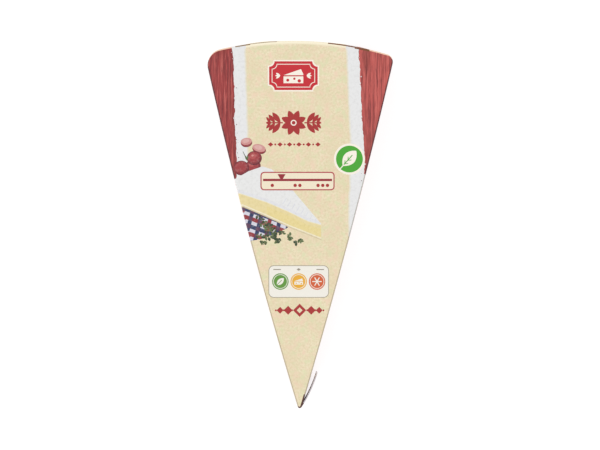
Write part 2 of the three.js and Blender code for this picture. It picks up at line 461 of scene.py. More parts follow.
def strength_slider(art, x0, x1, top, bottom):
    """A boxed scale with a marker, and one, two and three dots under it."""
    line = top * 0.56 + bottom * 0.44
    art.add(rounded_box(x0, bottom, x1, top, 1.6), "slider box")
    art.add(rounded_box(x0 + 0.5, bottom + 0.5, x1 - 0.5, top - 0.5, 1.15), "slider fill")
    art.add(bar((x0 + 1.1, line), (x1 - 1.1, line), 1.0), "slider")
    marker = x0 + (x1 - x0) * 0.285
    art.add([(marker - 1.7, top - 1.0), (marker, line - 0.5), (marker + 1.7, top - 1.0)], "slider")
    for place, count in ((0.16, 1), (0.5, 2), (0.84, 3)):
        for i in range(count):
            x = x0 + (x1 - x0) * place + (i - (count - 1) / 2) * 2.0
            art.add(disc(x, (line + bottom) / 2 - 0.1, 0.72, 20), "title")


def leaf_roundel(art, x, y, radius):
    """A round green sticker with a leaf on it."""
    art.add(disc(x, y, radius + 0.9, 56), "pale")
    art.add(disc(x, y, radius, 56), "green")
    art.add(leaf(x - radius * 0.5, y - radius * 0.5, radius * 1.5, radius * 0.92, 48, 15), "pale")
    vein = ((x - radius * 0.72, y - radius * 0.76), (x + radius * 0.22, y + radius * 0.3))
    art.add(bar(*vein, 0.42), "pale")
    art.add(bar((x - radius * 0.42, y - radius * 0.42), vein[1], 0.4), "green")
    for share in (0.3, 0.55):
        at = np.array(vein[0]) * (1 - share) + np.array(vein[1]) * share + (0.5, 0.5)
        for branch in ((0.1, 1.5), (1.5, 0.1)):
            art.add(bar(at, at + branch, 0.3), "green")


def care_panel(art, x0, y0, x1, y1):
    """A pale panel with three plain signs: a leaf, a wedge and a frost star."""
    art.add(rounded_box(x0 - 0.25, y0 - 0.25, x1 + 0.25, y1 + 0.25, 2.2), "panel line")
    art.add(rounded_box(x0, y0, x1, y1, 2.0), "panel")
    y = (y0 + y1) / 2
    spacing = (x1 - x0) * 0.31
    middle = (x0 + x1) / 2
    for i, ink in enumerate(("olive", "amber", "terracotta")):
        x = middle + (i - 1) * spacing
        for radius, fill in ((3.5, ink), (3.05, "panel"), (2.8, ink)):
            art.add(disc(x, y, radius), fill)
    x = middle - spacing
    art.add(leaf(x - 1.5, y - 1.5, 4.2, 2.3, 45), "panel")
    art.add(bar((x - 1.8, y - 1.8), (x + 0.6, y + 0.6), 0.28), "olive")
    wedge_sign(art, middle, y, 0.44, "panel", "amber")
    for turn in range(3):
        spoke = moved([(-2.0, 0), (2.0, 0)], middle + spacing, y, turn * 60)
        art.add(bar(*spoke, 0.42), "panel")
    for x in (x0 + 3.4, x1 - 3.4):
        art.add(bar((x - 1.6, y1 - 1.5), (x + 1.6, y1 - 1.5), 0.4), "panel line")
    art.add(diamond(middle, y1 - 1.5, 0.9, 0.6), "panel line")


def foot_ornament(art, x0, x1, y, height):
    """Diamonds between dots, in place of a weight."""
    middle = (x0 + x1) / 2
    half = (x1 - x0) / 2
    for size, ink in ((0.5, "title"), (0.22, "kraft")):
        art.add(diamond(middle, y, height * size, height * size), ink)
    for side in (-1, 1):
        for at, size in ((0.46, 0.34), (0.78, 0.26)):
            art.add(diamond(middle + side * half * at, y, height * size, height * size), "title")
        for at in (0.3, 0.63, 0.95):
            art.add(disc(middle + side * half * at, y, 0.4, 12), "title")


def checked_cloth(art, ring):
    """A folded cloth with big blue and red checks."""
    cloth = art.add(ring, "cloth")
    stripe_width = 1.7
    across = []
    for i in range(6):
        start = np.array([-36.0, 11.2]) + np.array([1.9, -4.0]) * i
        ink = "cloth red" if i % 2 else "cloth blue"
        across.append(art.add(bar(start, start + (36, -13.0), stripe_width), ink, within=cloth))
    for i in range(10):
        start = np.array([-35.0, 12.0]) + np.array([3.8, -1.2]) * i
        ink = "cloth blue" if i % 3 else "cloth red"
        down = bar(start, start + (-7.0 + 0.4 * i, -20), stripe_width)
        art.add(down, ink, within=cloth)
        for stripe in across:
            art.add(down, "cloth mixed", within=stripe)


def cheese_picture(art):
    """A wedge of soft cheese, seen from above and in front, with its point to the right."""
    far = [(-28.4, 18.9), (-22.0, 22.6), (-16.0, 24.7), (-12.0, 23.4), (-2.8, 14.1), (8.8, 0.4)]
    near = [(8.8, 0.4), (3.3, 1.9), (-5.2, 6.1), (-14.3, 10.0), (-25.6, 13.7), (-28.8, 14.6)]
    foot = [(-28.2, 9.4), (-24.9, 8.2), (-14.3, 3.7), (-4.6, -0.8), (8.8, -6.1)]
    art.add(band(foot, 0.6, -0.8), "picture shade")
    side = art.add([*near[::-1], *foot[::-1]], "paste")
    warm = [(-14.0, 9.9), (8.8, 0.4), (8.8, -6.1), (-4.6, -0.8), (-14.3, 3.7)]
    art.add(warm, "paste warm", within=side)
    art.add(band(near, 0, -2.2), "paste", within=side)
    art.add(band(near, 0, -0.8), "paste light", within=side)
    art.add(band(foot, 0, 0.6), "paste foot", within=side)
    rind = art.add([*far, *near[1:]], "rind")
    art.add(band(near, 0, 1.0), "rind low", within=rind)
    art.add(band(near, 0, -0.45), "rind low", within=side)
    for i in range(8):
        start = np.array([-7.5, 8.6]) + np.array([1.95, -1.02]) * i
        tall = 2.7 - 0.2 * i
        art.add(bar(start, start + (tall * 0.62, tall), 0.35), "rind ridge", within=rind)


def radishes(art):
    """Two slices and three whole radishes."""
    for x, y, rx, ry, angle in ((-22.9, 35.1, 2.4, 1.8, 8), (-17.5, 32.3, 2.9, 1.9, -14)):
        art.add(ellipse(x + 0.1, y - 0.45, rx, ry, angle), "radish dark")
        art.add(ellipse(x, y - 0.2, rx, ry, angle), "slice rim")
        art.add(ellipse(x, y + 0.2, rx * 0.97, ry * 0.84, angle), "slice")
        art.add(ellipse(x - 0.3, y + 0.45, rx * 0.6, ry * 0.5, angle), "slice light")
    shades = ((0.15, 0.95, "radish low"), (0.4, 0.8, "radish"),
              (0.8, 0.44, "radish light"), (1.1, 0.15, "radish shine"))
    for x, y, r, shown in ((-19.9, 24.9, 3.1, 4), (-25.0, 24.0, 3.3, 2), (-19.5, 28.2, 3.2, 4)):
        whole = art.add(ellipse(x, y, r, r * 0.95), "radish dark")
        for shift, size, ink in shades[:shown]:
            lit = ellipse(x - shift * 0.7, y + shift, r * size, r * size * 0.86, 25)
            art.add(lit, ink, within=whole)
    art.add(bar((-24.3, 31.0), (-22.6, 27.2), 0.28), "herb dark")
    for angle in (70, 105):
        art.add(leaf(-22.8, 27.4, 2.0, 0.7, angle), "herb")


def sprig(art, rng, a, b, leaves, size):
    """A stem with small leaves on both sides."""
    a, b = np.array(a, float), np.array(b, float)
    art.add(bar(a, b, 0.2), "stem")
    lean = math.degrees(math.atan2(*(b - a)[::-1]))
    for i in range(leaves):
        at = a + (b - a) * (i + 0.5) / leaves
        turn = lean + (55 if i % 2 else -55) + rng.uniform(-25, 25)
        ink = "herb" if rng.random() < 0.55 else "herb dark"
        length = size * rng.uniform(0.75, 1.25)
        art.add(leaf(*at, length, length * rng.uniform(0.5, 0.7), turn, 6), ink)


def herbs(art, seed):
    """Sprigs of a small-leaved herb on the cloth and beside the cheese."""
    rng = random.Random(seed)
    for a, b in (((-18.6, 4.2), (-12.0, -1.6)), ((-17.4, 0.6), (-10.4, -2.6)),
                 ((-15.2, -2.4), (-8.6, -3.6)), ((-19.0, -4.6), (-13.2, -5.4))):
        sprig(art, rng, a, b, 11, 1.5)
    for x, y, size in ((-10.9, -5.2, 1.5), (-9.1, -6.9, 1.7), (-8.0, -3.2, 1.3), (-4.8, -5.6, 1.5),
                       (-1.7, -7.6, 1.1), (-0.3, -6.7, 1.2), (-16.4, -7.2, 1.0), (-14.6, -7.9, 0.9)):
        lean = math.radians(rng.uniform(0, 360))
        reach = np.array([math.cos(lean), math.sin(lean)]) * size * 0.7
        sprig(art, rng, (x, y) - reach, (x, y) + reach, 6, size * 1.1)


def food_picture(art):
    """Radishes, cheese on a cloth, and herbs."""
    radishes(art)
    checked_cloth(art, [(-29.5, 8.0), (-27.0, 8.9), (-24.3, 8.0), (-14.3, 3.7), (-4.6, -0.8),
                        (-6.2, -1.9), (-11, -4.1), (-16.6, -6.2), (-20.6, -6.9), (-24.2, -5.2),
                        (-26.4, -1.5), (-29.2, 1.0)])
    cheese_picture(art)
    herbs(art, 11)


def top_art():
    """The print of the blank: the top, and what runs over its folds onto the walls."""
    art = Art()
    left_strip = [(BLANK_TOP, -25.2), (74, -23.9), (37, -22.8), (BLANK_BOTTOM, -21.8)]
    left_wood = [(BLANK_TOP, -30.0), (74, -28.6), (28, -27.1), (BLANK_BOTTOM, -25.6)]
    right_strip = [(BLANK_TOP, 19.6), (74, 20.2), (37, 21.7), (3, 21.2), (BLANK_BOTTOM, 20.6)]
    right_wood = [(BLANK_TOP, 23.6), (74, 24.8), (40, 26.5), (27, 27.3), (BLANK_BOTTOM, 26.0)]
    wooden_edge(art, -1, left_wood, left_strip, "wood left", 3)
    wooden_edge(art, 1, right_wood, right_strip, "wood right", 8)
    food_picture(art)
    plaque(art, -2.9, 63.2)
    title_ornament(art, -2.8, 43.2, 23.2, 12.2)
    beading(art, -12.6, 7.5, 34.0, "title")
    strength_slider(art, -16.9, 14.6, 22.4, 14.5)
    leaf_roundel(art, 20.9, 27.8, 5.7)
    care_panel(art, -13.2, -30.8, 11.9, -17.6)
    foot_ornament(art, -10.9, 10.4, -36.4, 5.6)
    return art


def bottom_art():
    """The underside: boards, with a torn sheet of kraft that holds a blank label."""
    art = Art()
    far = BLANK_SIDE
    art.add([(-far, -far), (far, -far), (far, far), (-far, far)], "wood left")
    rng = random.Random(21)
    tip = (-1.0, -24.0)
    sheet = [(-23.5, 95.0), (-9.0, -14.0), tip, (8.0, -14.0), (19.5, 95.0)]
    tear = 0.16  # how ragged the sheet's edge is
    margin = 2.28  # of torn paper on each side of the kraft
    ragged = []
    for a, b in zip(sheet, sheet[1:]):
        for share in np.arange(0, 1, 0.012):
            x, y = np.array(a) + (np.array(b) - a) * share
            ragged.append((x + rng.uniform(-tear, tear), y + rng.uniform(-tear, tear)))
    art.add([(x - 0.4 + math.copysign(margin, x - tip[0]), y - 2.4) for x, y in ragged], "torn")
    art.add(ragged, "kraft")
    art.add(rounded_box(-14, 22, 11, 54, 2), "pale")
    return art


def ink_at(art, point):
    """The ink of a point of the blank."""
    inside = set()
    for number, (ring, ink, within) in enumerate(art.layers):
        near = (ring.min(0) < point).all() and (ring.max(0) > point).all()
        if near and covers(ring, np.array([point]))[0]:
            inside.add(number)
    return topmost(art.layers, inside)


def covers(ring, points):
    """Which of some points lie inside a ring."""
    a, b = ring, np.roll(ring, -1, axis=0)
    x, y = points[:, 0, None], points[:, 1, None]
    spans = (a[:, 1] > y) != (b[:, 1] > y)
    rise = np.where(a[:, 1] == b[:, 1], 1.0, b[:, 1] - a[:, 1])
    crossings = a[:, 0] + (b[:, 0] - a[:, 0]) * (y - a[:, 1]) / rise
    return np.count_nonzero(spans & (crossings > x), axis=1) % 2 == 1


# ---------------- sheets of board


def painted(domain, layers, guides=()):
    """Cuts a flat region along its print: its points, triangles and each triangle's ink."""
    rings = [domain] + [ring for ring, ink, within in layers]
    points, faces, edges = [], [], []
    for ring in rings:
        faces.append(list(range(len(points), len(points) + len(ring))))
        points.extend(ring)
    for a, b in guides:
        edges.append((len(points), len(points) + 1))
        points.extend([a, b])
    flat = [Vector((float(x), float(y))) for x, y in points]
    found = delaunay_2d_cdt(flat, edges, faces, 0, MERGE)
    corners = np.array([tuple(p) for p in found[0]])
    kept, sources = zip(*((list(t), s) for t, s in zip(found[2], found[5]) if 0 in s))
    covering = true_covers(layers, corners[list(kept)].mean(1), sources)
    return tidy_points(corners, kept, [topmost(layers, inside) for inside in covering])


def true_covers(layers, centres, sources):
    """The layers over each triangle. The cutter's own answer can leak out of a small ring, so
    each of them is tried at the triangle's middle."""
    claims = {}
    for number, source in enumerate(sources):
        for i in source:
            if i > 0:
                claims.setdefault(i - 1, []).append(number)
    covering = [set() for source in sources]
    for layer, numbers in claims.items():
        held = covers(layers[layer][0], centres[numbers])
        for number in np.array(numbers)[held]:
            covering[number].add(layer)
    return covering


def topmost(layers, inside):
    """The ink of the last layer that shows at a triangle."""
    for i in sorted(inside, reverse=True):
        if shows(layers, i, inside):
            return layers[i][1]
    return "kraft"


def shows(layers, i, inside):
    """Whether a layer and every layer that it is kept within cover a triangle."""
    while i is not None:
        if i not in inside:
            return False
        i = layers[i][2]
    return True


def tidy_points(corners, triangles, inks):
    """Leaves out the corners that no triangle uses, and turns every triangle anticlockwise."""
    used = sorted({i for triangle in triangles for i in triangle})
    renamed = {old: new for new, old in enumerate(used)}
    triangles = [[renamed[i] for i in triangle] for triangle in triangles]
    corners = corners[used]
    turned = [t if area(corners[t]) > 0 else t[::-1] for t in triangles]
    return corners, turned, inks


def boundary(faces):
    """The edges that only one face has, each with that face's number."""
    owner = {}
    for number, face in enumerate(faces):
        for a, b in zip(face, face[1:] + face[:1]):
            owner[a, b] = number
    return {edge: number for edge, number in owner.items() if edge[::-1] not in owner}


def make_sheet(name, places, normals, faces, inks, prints, inside="bare", rim="cut edge"):
    """A closed sheet of board, from its printed face: that face, its back and the cut edge. The
    back's and the edge's ink may each depend on the place on the blank."""
    places, normals, prints = (np.asarray(a, float) for a in (places, normals, prints))
    count = len(places)
    verts = np.vstack([places, places - BOARD * normals]) * MM
    corner_normals, rings, names = [], [], []
    for face, ink in zip(faces, inks):
        rings.append(face)
        corner_normals.extend(normals[face])
        names.append(ink)
    for face in faces:
        rings.append([i + count for i in face[::-1]])
        corner_normals.extend(-normals[face[::-1]])
        names.append(inside(prints[face[0]]) if callable(inside) else inside)
    for a, b in boundary(faces):
        rings.append([b, a, a + count, b + count])
        outwards = np.cross(places[b] - places[a], normals[a] + normals[b])
        corner_normals.extend([outwards / np.linalg.norm(outwards)] * 4)
        names.append(rim(prints[a]) if callable(rim) else rim)
    mesh = bpy.data.meshes.new(name)
    mesh.from_pydata([tuple(v) for v in verts], [], rings)
    write_print(mesh, rings, names, np.vstack([prints, prints]))
    mesh.polygons.foreach_set("use_smooth", [True] * len(rings))
    mesh.normals_split_custom_set([tuple(n) for n in corner_normals])
    mesh.materials.append(BOARD_MATERIAL)
    return placed(name, mesh)


def placed(name, data):
    """A new object in the scene."""
    made = bpy.data.objects.new(name, data)
    bpy.context.scene.collection.objects.link(made)
    return made


def write_print(mesh, rings, names, prints):
    """Gives every corner its ink, its finish and its place on the blank."""
    inks, finishes, places = [], [], []
    for ring, name in zip(rings, names):
        colour, finish = INK_ROWS[name]
        inks.extend(colour * len(ring))
        finishes.extend(finish * len(ring))
        for i in ring:
            places.extend((prints[i][0], prints[i][1], 0.0))
    for label, kind, field, values in (
        ("ink", "FLOAT_COLOR", "color", inks),
        ("finish", "FLOAT_COLOR", "color", finishes),
        ("print_at", "FLOAT_VECTOR", "vector", places),
    ):
        mesh.attributes.new(label, kind, "CORNER").data.foreach_set(field, values)


# ---------------- the top and the bottom


def crease_width(ny):
    """How far in a crease starts, by the outline's normal: side, corner or back."""
    knots = [-0.2, 0.0, 0.4, 0.8, 0.965]
    widths = [SIDE_CREASE, CORNER_CREASE, CORNER_CREASE + 0.1, BACK_CREASE * 0.6, BACK_CREASE]
    return np.interp(ny, knots, widths)


def sunk(points, inset):
    """How far the board has sunk at some points, and the surface's normals there."""
    def depth(at):
        following = np.roll(inset, -1, axis=0)
        along = following - inset
        away = at[:, None] - inset
        share = np.clip((away * along).sum(2) / (along * along).sum(1), 0, 1)
        gap = np.linalg.norm(away - along * share[:, :, None], axis=2).min(1)
        rise = np.clip(gap / SAG_REACH, 0, 1)
        wave = 0.75 + 0.25 * np.sin(at[:, 0] / 8 + 1) * np.cos(at[:, 1] / 15)
        return TOP_SAG * rise * rise * (3 - 2 * rise) * wave

    step = 0.2
    slopes = [(depth(points + s) - depth(points - s)) / (2 * step)
              for s in (np.array([step, 0]), np.array([0, step]))]
    normals = np.column_stack([*slopes, np.ones(len(points))])
    return depth(points), normals / np.linalg.norm(normals, axis=1)[:, None]


def panel_with_creases(art, fold_ink, sags):
    """A flat panel and its rounded folds, as places, normals, faces, inks and prints."""
    outline = samples(cap_ring("top_panel"), closed=True, spacing=2.0)
    widths = crease_width(outline[:, 3])
    inset = outline[:, :2] - outline[:, 2:4] * widths[:, None]
    guides = [((-50, y), (50, y)) for y in range(-72, 78, 6)]
    guides += [((x, -90), (x, 90)) for x in range(-36, 40, 6)]
    corners, faces, inks = painted(inset, art.layers, guides if sags else ())
    rims = boundary(faces)
    rim_corners = sorted({a for a, b in rims})
    depths, normals = np.zeros(len(corners)), np.tile([0.0, 0.0, 1.0], (len(corners), 1))
    if sags:
        depths, normals = sunk(corners, inset)
        depths[rim_corners] = 0
        normals[rim_corners] = (0, 0, 1)
    places = [(x, y, HEIGHT - depth) for (x, y), depth in zip(corners, depths)]
    normals = [tuple(normal) for normal in normals]
    prints = list(corners)
    columns, outs = {}, {}
    for a in rim_corners:
        columns[a] = [a]
        out, width = rim_normal(corners[a], inset, outline, widths)
        outs[a] = out
        for step in range(1, CREASE_STEPS + 1):
            place, normal, reach = crease_point(corners[a], out, width, step / CREASE_STEPS)
            columns[a].append(len(places))
            places.append(place)
            normals.append(normal)
            prints.append(corners[a] + out * reach)
    for (a, b), number in sorted(rims.items()):
        for step in range(CREASE_STEPS):
            faces.append([columns[b][step], columns[a][step],
                          columns[a][step + 1], columns[b][step + 1]])
            inks.append(fold_ink(inks[number], places[columns[a][-1]], outs[a], step))
    return places, normals, faces, inks, prints


def rim_normal(point, inset, outline, widths):
    """The outward normal and crease width where a point lies on the inset outline."""
    following = np.roll(inset, -1, axis=0)
    along = following - inset
    share = np.einsum("ij,ij->i", point - inset, along) / np.einsum("ij,ij->i", along, along)
    share = np.clip(share, 0, 1)
    misses = np.linalg.norm(inset + along * share[:, None] - point, axis=1)
    i = int(np.argmin(misses))
    j = (i + 1) % len(inset)
    out = outline[i, 2:4] * (1 - share[i]) + outline[j, 2:4] * share[i]
    width = widths[i] * (1 - share[i]) + widths[j] * share[i]
    return out / np.linalg.norm(out), width


def crease_point(corner, out, width, share):
    """A point of a fold's rounding, with its normal and its distance along the print."""
    angle = share * math.pi / 2
    sideways, drop = width * math.sin(angle), CREASE_DROP * (1 - math.cos(angle))
    normal = np.array([*(out * math.sin(angle) / width), math.cos(angle) / CREASE_DROP])
    place = (*(corner + out * sideways), HEIGHT - drop)
    return place, tuple(normal / np.linalg.norm(normal)), width * share * CREASE_PRINT


def top_fold_ink(ink, edge, out, step):
    """The tight folds show as a dark line of painted shade. The slack one along the back is paler
    where its rounding faces the light, a painted highlight, and it gapes in two places, each painted
    dark as shadow in the gap. Near the tip the edge is painted dark as shade in the narrow gap by the
    tab."""
    kind = ink.split()[0]
    # near the tip, the edge is painted dark: painted shade in the narrow gap by the tab
    if edge[1] < (TAB_GAP_Y if out[0] > 0 else TIP_GAP_Y):
        return "tip gap"
    if kind not in ("kraft", "wood", "torn"):
        return ink
    # a tight fold: a dark line of painted shade from its second step out
    if out[1] < BACK_FACING:
        return f"{kind} fold" if step >= 1 else ink
    # the two gaps: painted shadow on the rounding's outer steps
    for start, end, gap, wide in BACK_GAP_SHADOWS:
        share = (edge[0] - start) / (end - start)
        outer = CREASE_STEPS - 1 - int(GAP_DRIFT * max(share - GAP_LEVEL, 0))
        if 0 < share < 1 and outer - wide <= step <= outer:
            return gap
    if kind == "torn":
        return "torn"
    # the back fold's outermost step: a grey line of painted shade
    if step == CREASE_STEPS - 1:
        return "kraft fold"
    # the rest of the back's rounding: paler kraft and wood, a painted highlight where it faces the
    # light
    if kind == "wood":
        return ink if step < HIGHLIGHT_FROM else "wood crease"
    return f"kraft crease {step}" if step < 2 else "kraft crease"


def bottom_fold_ink(ink, edge, out, step):
    """The print of the wall above runs on round the lower folds."""
    sideways = abs(out[0]) > SIDE_FACING
    fold = (RIGHT_FOLD if out[0] > 0 else LEFT_FOLD) if sideways else BACK_FOLD
    u = fold.onto_wall([edge[:2]])[0, 0]
    return ink_at(TOP_ART, fold.onto_blank([(u, WALL_BOTTOM)])[0])


def upside_down(panel):
    """The same panel as the underside of the carton."""
    places, normals, faces, inks, prints = panel
    places = [(x, y, HEIGHT - z) for x, y, z in places]
    normals = [(x, y, -z) for x, y, z in normals]
    return places, normals, [face[::-1] for face in faces], inks, prints


# ---------------- the walls and flaps


def wall_layers(fold, low, high):
    """The layers of the top's print that reach a wall, in its own u and z."""
    layers = []
    renamed = {}
    for number, (ring, ink, within) in enumerate(TOP_ART.layers):
        if within is not None and within not in renamed:
            continue
        laid = fold.onto_wall(ring)
        if np.all(laid.max(0) > low) and np.all(laid.min(0) < high):
            renamed[number] = len(layers)
            laid = laid if area(laid) > 0 else laid[::-1]
            layers.append((laid, ink, renamed.get(within)))
    return layers


def flat_belly(u, z):
    """No bulge."""
    return 0.0 * u * z


def untrimmed(s):
    """Full height all along."""
    return 0.0


def upright(node, name, fold, offset, belly=flat_belly, heights=None, trim=untrimmed,
            inside="bare", rim="cut edge", printed=True):
    """A wall or flap that follows a CAD node's outside. It starts at an offset along a fold and
    has the node's heights if no others are given. trim is what its head and foot lose at a
    distance along it, and belly how far it stands out at u and z."""
    run = samples(outer_run(node))
    us = run[:, 4] + offset
    foot, head = heights or node_heights(node)
    cuts = np.array([trim(s) for s in run[:, 4]])
    lower = np.column_stack([us, foot + cuts])
    upper = np.column_stack([us, head - cuts])
    domain = np.vstack([lower, upper[::-1]])
    low, high = domain.min(0), domain.max(0)
    guides = [((u, low[1] - 1), (u, high[1] + 1)) for u in us[1:-1]]
    levels = np.linspace(low[1], high[1], 9)[1:-1]
    guides += [((low[0] - 1, z), (high[0] + 1, z)) for z in levels]
    corners, faces, inks = painted(domain, wall_layers(fold, low, high) if printed else [], guides)
    if not printed:
        inks = ["bare"] * len(inks)
    places, normals = stood_up(corners, run, us, belly)
    prints = fold.onto_blank(corners)
    finish_piece(make_sheet(name, places, normals, faces, inks, prints, inside, rim), node)


def stood_up(corners, run, us, belly):
    """Where points at u and z lie in the carton, with their normals."""
    x, y, nx, ny = (np.interp(corners[:, 0], us, run[:, i]) for i in range(4))
    size = np.hypot(nx, ny)
    nx, ny = nx / size, ny / size
    z = corners[:, 1]
    out = belly(corners[:, 0], z)
    step = 0.05
    lean = (belly(corners[:, 0], z + step) - belly(corners[:, 0], z - step)) / (2 * step)
    slew = (belly(corners[:, 0] + step, z) - belly(corners[:, 0] - step, z)) / (2 * step)
    places = np.column_stack([x + nx * out, y + ny * out, z])
    normals = np.column_stack([nx + ny * slew, ny - nx * slew, -lean])
    return places, normals / np.linalg.norm(normals, axis=1)[:, None]


def side_belly(length):
    """A slight bulge of a side wall that dies out at its folds and its ends."""
    def belly(u, z):
        rise = np.clip((z - WALL_BOTTOM) / (WALL_TOP - WALL_BOTTOM), 0, 1)
        ends = np.clip((length / 2 - np.abs(u)) / 25, 0, 1)
        return SIDE_BELLY * np.sin(math.pi * rise) * ends * ends * (3 - 2 * ends)
    return belly


def back_belly(length):
    """The back flap is bent about a curved fold, so that it stands out in two lobes."""
    low = node_heights("back_outer_flap")[0]

    def belly(u, z):
        rise = np.clip((z - low) / (WALL_TOP - low), 0, 1)
        across = np.exp(-((u - 18) / 7.5) ** 2) + np.exp(-((u + 20) / 7) ** 2) + 0.35
        ends = np.clip((length / 2 - np.abs(u)) / 8, 0, 1)
        profile = np.sin(math.pi * rise) ** 0.6 * (0.35 + 0.65 * rise)
        return BACK_BELLY * across * profile * ends
    return belly


def finish_piece(piece, node):
    """Fixes a piece to the carton in place of its CAD node."""
    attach(piece, "root")
    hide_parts(node)


# ---------------- materials


def add_node(tree, kind, inputs=None, **settings):
    """A shader node with its settings, its links and its fixed values."""
    made = tree.nodes.new(kind)
    for key, value in settings.items():
        setattr(made, key, value)
    for key, value in (inputs or {}).items():
        if isinstance(value, bpy.types.NodeSocket):
            tree.links.new(value, made.inputs[key])
        else:
            made.inputs[key].default_value = value
    return made


def noise(tree, vector, scale, detail=2.0, roughness=0.5, stretch=(1, 1, 1)):
    """A noise that is stretched along an axis where its stretch is small."""
    mapped = add_node(tree, "ShaderNodeMapping", {"Vector": vector, "Scale": stretch})
    inputs = {"Vector": mapped.outputs[0], "Scale": scale, "Detail": detail, "Roughness": roughness}
    return add_node(tree, "ShaderNodeTexNoise", inputs).outputs["Fac"]


def spread(tree, value, low, high, to_low, to_high):
    """A value drawn out from one range to another."""
    inputs = {"Value": value, "From Min": low, "From Max": high, "To Min": to_low, "To Max": to_high}
    return add_node(tree, "ShaderNodeMapRange", inputs).outputs[0]


def calc(tree, operation, a, b):
    """One step of arithmetic."""
    return add_node(tree, "ShaderNodeMath", {0: a, 1: b}, operation=operation).outputs[0]


def mix(tree, factor, a, b, blend="MIX"):
    """A mix of two colours."""
    inputs = {0: factor, 6: a, 7: b}
    return add_node(tree, "ShaderNodeMix", inputs, data_type="RGBA", blend_type=blend).outputs[2]


def new_material(name, roughness=0.5, specular=0.4):
    """An empty material, its node tree and its shader."""
    material = bpy.data.materials.new(name)
    material.use_nodes = True
    shader = material.node_tree.nodes["Principled BSDF"]
    shader.inputs["Roughness"].default_value = roughness
    shader.inputs["Specular IOR Level"].default_value = specular
    return material, material.node_tree, shader


def stained(tree, colour, stains):
    """A colour with others mixed in, each by up to a share as its noise goes between two values."""
    for value, start, end, most, stain, *blend in stains:
        share = spread(tree, value, start, end, 0, most)
        colour = mix(tree, share, colour, shade(*stain), *blend)
    return colour


def dress(tree, shader, colour, height, strength, distance):
    """Gives a shader its colour and its bumps."""
    tree.links.new(colour, shader.inputs["Base Color"])
    inputs = {"Height": height, "Strength": strength, "Distance": distance}
    bump = add_node(tree, "ShaderNodeBump", inputs)
    tree.links.new(bump.outputs[0], shader.inputs["Normal"])


def wood_colour(tree, ink, at):
    """Stained boards: fine grain along Y in dark, pale and brown streaks."""
    streaks = noise(tree, at, 1.7, 4, 0.6, (1, 0.03, 1))
    fine = noise(tree, at, 4.2, 3, 0.6, (1, 0.045, 1))
    broad = noise(tree, at, 0.3, 2, 0.5, (1, 0.15, 1))
    return stained(tree, ink, (
        (streaks, 0.5, 0.64, 0.85, (104, 40, 44)),
        (streaks, 0.49, 0.36, 0.6, (214, 118, 108)),
        (broad, 0.5, 0.66, 0.6, (128, 52, 46)),
        (fine, 0.53, 0.66, 0.6, (96, 34, 40)),
        (fine, 0.46, 0.34, 0.45, (206, 104, 98)),
    ))


def kraft_colour(tree, ink, at):
    """Recycled kraft: a fine fleck, patches of grey-green and pink, and slow clouds."""
    fleck = noise(tree, at, 1.1, 4, 0.7)
    patches = noise(tree, at, 0.3, 3, 0.6)
    clouds = noise(tree, at, 0.1, 3, 0.5)
    return stained(tree, ink, (
        (fleck, 0.5, 0.66, 0.5, (208, 190, 152)),
        (fleck, 0.5, 0.34, 0.55, (248, 238, 214)),
        (patches, 0.52, 0.64, 0.8, (222, 222, 180)),
        (patches, 0.47, 0.35, 0.75, (240, 212, 186)),
        (clouds, 0.38, 0.62, 0.3, (222, 203, 166)),
    ))


def painted_colour(tree, ink, at):
    """A printed picture: small shifts of brightness."""
    soft = noise(tree, at, 0.8, 4, 0.6)
    return stained(tree, ink, (
        (soft, 0.5, 0.75, 0.12, (90, 80, 70), "MULTIPLY"),
        (soft, 0.5, 0.25, 0.12, (255, 252, 244), "SCREEN"),
    ))


def bare_colour(tree, ink, at):
    """Unprinted board: short grey and brown fibres."""
    fibres = noise(tree, at, 1.6, 5, 0.7, (1, 0.3, 1))
    crossed = noise(tree, at, 1.9, 4, 0.7, (0.3, 1, 1))
    return stained(tree, ink, (
        (fibres, 0.5, 0.72, 0.5, (186, 174, 152)),
        (crossed, 0.52, 0.72, 0.35, (240, 234, 222)),
    ))


def board_material():
    """Coated board that shows its ink, with a bare inside."""
    material, tree, shader = new_material("coated_print")
    ink, finish, place = (add_node(tree, "ShaderNodeAttribute", attribute_name=label)
                          for label in ("ink", "finish", "print_at"))
    colour, at, bare = ink.outputs["Color"], place.outputs["Vector"], finish.outputs["Alpha"]
    parts = add_node(tree, "ShaderNodeSeparateColor", {0: finish.outputs["Color"]})
    looks = (wood_colour, kraft_colour, painted_colour, bare_colour)
    for share, look in zip((*parts.outputs, bare), looks):
        colour = mix(tree, share, colour, look(tree, ink.outputs["Color"], at))
    wear = noise(tree, at, 0.8, 4, 0.6)
    coated = spread(tree, wear, 0.3, 0.7, 0.42, 0.52)
    rough = add_node(tree, "ShaderNodeMix", {0: bare, 2: coated, 3: 0.85})
    tree.links.new(rough.outputs[0], shader.inputs["Roughness"])
    grain = calc(tree, "ADD", noise(tree, at, 3.2, 3, 0.6), calc(tree, "MULTIPLY", wear, 0.6))
    dress(tree, shader, colour, grain, 0.12, 0.0001)
    return material


def paper_material():
    """White waxed paper round the slice."""
    material, tree, shader = new_material("waxed_paper", 0.45)
    at = add_node(tree, "ShaderNodeTexCoord").outputs["Object"]
    fibres = noise(tree, at, 900, 4, 0.6)
    creases = noise(tree, at, 60, 3, 0.6)
    colour = stained(tree, shade(246, 245, 240), ((fibres, 0.4, 0.7, 0.5, (226, 224, 214)),))
    dress(tree, shader, colour, creases, 0.35, 0.0006)
    return material


